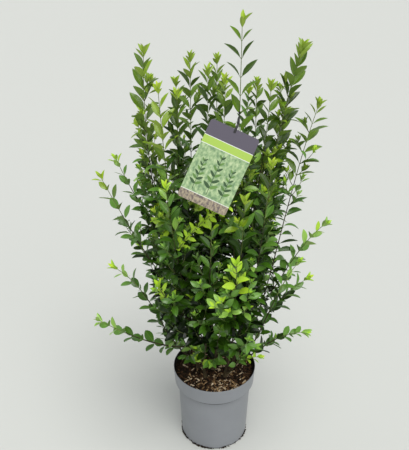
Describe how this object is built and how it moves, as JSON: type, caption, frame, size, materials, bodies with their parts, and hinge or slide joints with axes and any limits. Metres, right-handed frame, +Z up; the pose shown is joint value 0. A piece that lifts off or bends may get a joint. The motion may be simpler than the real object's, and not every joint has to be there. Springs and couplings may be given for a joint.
{
  "type": "potted privet shrub",
  "caption": "Young privet shrub with several upright leafy stems from one base, in a plain tapered nursery pot of bark compost, with an unlettered hang tag on one stem.",
  "frame": {"origin": "centre of the pot's flat underside", "axes": "+Z up through the pot's axis; -Y is the side that the picture's viewer stands on, so the viewer looks along +Y with +X to the right"},
  "size_m": [0.5717, 0.4519, 1.1507],
  "materials": {
    "pot": "matt mid-grey moulded plastic",
    "compost": "dark moist bark compost with pale chips",
    "stem_bark": "thin grey-brown bark",
    "bough_bark": "thin brown-green bark",
    "foliage": "satin dark green leaves with lime young tips",
    "tag": "printed thin plastic card"
  },
  "bodies": {
    "root": {"bough_back": "bough_bark", "bough_back_left": "bough_bark", "bough_centre": "bough_bark", "bough_front": "bough_bark", "bough_front_left": "bough_bark", "bough_front_mid": "bough_bark", "bough_front_right": "bough_bark", "bough_left": "bough_bark", "bough_left_back": "bough_bark", "bough_right": "bough_bark", "bough_right_outer": "bough_bark", "bough_right_rear": "bough_bark", "foliage_back": "foliage", "foliage_back_left": "foliage", "foliage_centre": "foliage", "foliage_front": "foliage", "foliage_front_left": "foliage", "foliage_front_mid": "foliage", "foliage_front_right": "foliage", "foliage_left": "foliage", "foliage_left_back": "foliage", "foliage_low_back": "foliage", "foliage_low_front": "foliage", "foliage_low_front_left": "foliage", "foliage_low_front_right": "foliage", "foliage_low_left": "foliage", "foliage_low_left_back": "foliage", "foliage_low_rear_right": "foliage", "foliage_low_right": "foliage", "foliage_right": "foliage", "foliage_right_outer": "foliage", "foliage_right_rear": "foliage", "foliage_side_front_right": "foliage", "foliage_side_left": "foliage", "pot": "pot", "soil": "compost", "stem_back": "stem_bark", "stem_centre": "stem_bark", "stem_front_left": "stem_bark", "stem_front_right": "stem_bark", "stem_left": "stem_bark", "stem_right": "stem_bark", "tag": "tag"}
  },
  "joints": []
}
